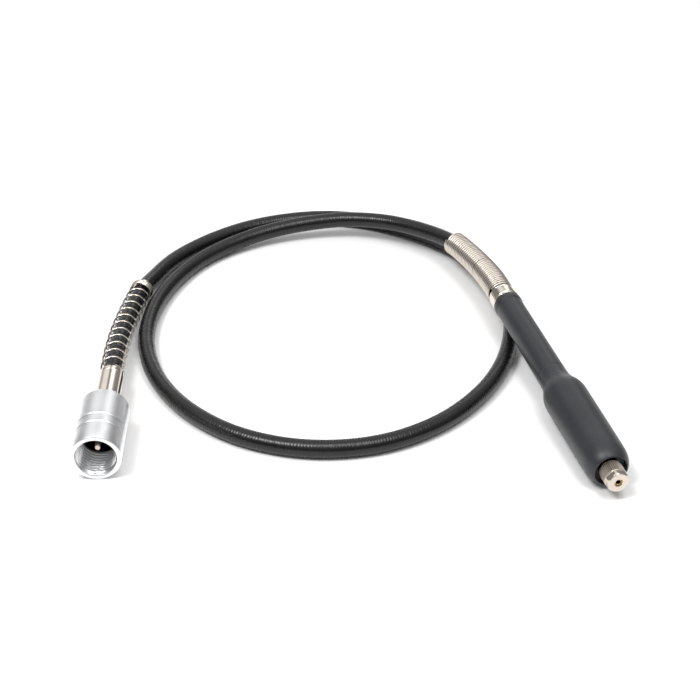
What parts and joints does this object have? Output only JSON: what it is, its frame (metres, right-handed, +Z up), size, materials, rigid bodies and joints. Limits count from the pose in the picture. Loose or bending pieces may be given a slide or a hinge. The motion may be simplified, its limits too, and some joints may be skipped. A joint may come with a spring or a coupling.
{
  "type": "rotary tool flexible shaft",
  "caption": "Flexible drive shaft for a rotary tool: threaded coupling nut, coiled strain relief, long cased wire core and a slim rubber-gripped handpiece with a collet nut.",
  "frame": {"origin": "bottom centre of the whole object as it lies on the ground", "axes": "+Z up; the casing's loop lies in the XY plane with both ends towards -Y, the coupling nut on the -X side and the handpiece on the +X side"},
  "size_m": [0.2532, 0.2738, 0.0241],
  "materials": {
    "casing": "satin black vinyl over a ribbed liner",
    "liner": "smooth natural plastic",
    "rubber": "matte moulded rubber",
    "nickel": "bright nickel plate",
    "aluminium": "satin turned",
    "barrel": "turned",
    "steel": "ground",
    "black_steel": "black oxide",
    "bronze": "sintered bronze",
    "brass": "bright turned"
  },
  "bodies": {
    "shaft_loop": {"loop_sheath": "casing", "loop_liner": "liner", "loop_core": "steel"},
    "handpiece_link": {"handpiece_link_sheath": "casing", "handpiece_link_liner": "liner", "handpiece_link_core": "steel"},
    "handpiece": {"handpiece_end_sheath": "casing", "handpiece_end_liner": "liner", "handpiece_end_core": "steel", "handpiece_spring": "nickel", "rear_ferrule": "nickel", "grip_sleeve": "rubber", "handpiece_barrel": "barrel", "nose_ring": "black_steel", "rear_bearing_outer_race": "steel", "front_bearing_outer_race": "steel", "bearing_spacer": "barrel", "wave_washer": "steel", "retaining_ring": "black_steel"},
    "spindle": {"spindle": "steel", "core_socket": "steel", "straight_core": "steel", "rear_bearing_inner_race": "steel", "front_bearing_inner_race": "steel"},
    "rear_cage": {"rear_ball_cage": "steel"},
    "front_cage": {"front_ball_cage": "steel"},
    "collet": {"collet": "brass"},
    "collet_nut": {"collet_nut": "nickel"},
    "coupler_link": {"coupler_link_sheath": "casing", "coupler_link_liner": "liner", "coupler_link_core": "steel"},
    "coupler": {"coupler_end_sheath": "casing", "coupler_end_liner": "liner", "coupler_end_core": "steel", "coupler_spring": "nickel", "spring_end_ring": "nickel", "coupler_ferrule": "nickel", "guide_bush": "bronze"},
    "nut_slider": {"nut_thrust_washer": "black_steel"},
    "coupling_nut": {"coupling_nut": "aluminium"},
    "core_slider": {"core_end_sleeve": "steel"},
    "drive_tip": {"drive_tip": "steel"}
  },
  "joints": [
    {"name": "handpiece_sweep", "type": "hinge", "parent": "shaft_loop", "child": "handpiece_link", "pos_m": [0.03282, 0.10457, 0.01376], "axis": [0, 0, 1], "range_deg": [0, 30]},
    {"name": "handpiece_lift", "type": "hinge", "parent": "handpiece_link", "child": "handpiece", "pos_m": [0.05128, 0.08936, 0.01516], "axis": [-0.7117, -0.7024, 0], "range_deg": [0, 30]},
    {"name": "coupler_sweep", "type": "hinge", "parent": "shaft_loop", "child": "coupler_link", "pos_m": [-0.10009, 0.07735, 0.00444], "axis": [0, 0, -1], "range_deg": [0, 30]},
    {"name": "coupler_lift", "type": "hinge", "parent": "coupler_link", "child": "coupler", "pos_m": [-0.10876, 0.05502, 0.00523], "axis": [-0.9505, 0.3108, 0], "range_deg": [0, 30]},
    {"name": "spindle_spin", "type": "hinge", "parent": "handpiece", "child": "spindle", "pos_m": [0.0823, 0.01373, 0.01675], "axis": [0.2439, -0.9688, -0.0443], "continuous": true},
    {"name": "rear_cage_spin", "type": "hinge", "parent": "handpiece", "child": "rear_cage", "pos_m": [0.0823, 0.01373, 0.01675], "axis": [0.2439, -0.9688, -0.0443], "continuous": true},
    {"name": "front_cage_spin", "type": "hinge", "parent": "handpiece", "child": "front_cage", "pos_m": [0.0823, 0.01373, 0.01675], "axis": [0.2439, -0.9688, -0.0443], "continuous": true},
    {"name": "collet_release", "type": "slide", "parent": "spindle", "child": "collet", "axis": [0.2439, -0.9688, -0.0443], "range_m": [0, 0.0015]},
    {"name": "collet_nut_turn", "type": "hinge", "parent": "collet", "child": "collet_nut", "pos_m": [0.0823, 0.01373, 0.01675], "axis": [0.2439, -0.9688, -0.0443], "range_deg": [0, 720]},
    {"name": "nut_slide", "type": "slide", "parent": "coupler", "child": "nut_slider", "axis": [-0.03, 0.9996, 0], "range_m": [0, 0.022]},
    {"name": "nut_spin", "type": "hinge", "parent": "nut_slider", "child": "coupling_nut", "pos_m": [-0.1149, -0.0796, 0.01175], "axis": [0.03, -0.9996, 0], "continuous": true},
    {"name": "core_pull", "type": "slide", "parent": "coupler", "child": "core_slider", "axis": [0.03, -0.9996, 0], "range_m": [0, 0.012]},
    {"name": "drive_spin", "type": "hinge", "parent": "core_slider", "child": "drive_tip", "pos_m": [-0.1149, -0.0796, 0.01175], "axis": [0.03, -0.9996, 0], "continuous": true}
  ],
  "couplings": [
    {"joint": "drive_spin", "follows": "spindle_spin", "ratio": -1},
    {"joint": "rear_cage_spin", "follows": "spindle_spin", "ratio": 0.425},
    {"joint": "front_cage_spin", "follows": "spindle_spin", "ratio": 0.425},
    {"joint": "collet_nut_turn", "follows": "collet_release", "rad_per_m": 8377.6}
  ]
}
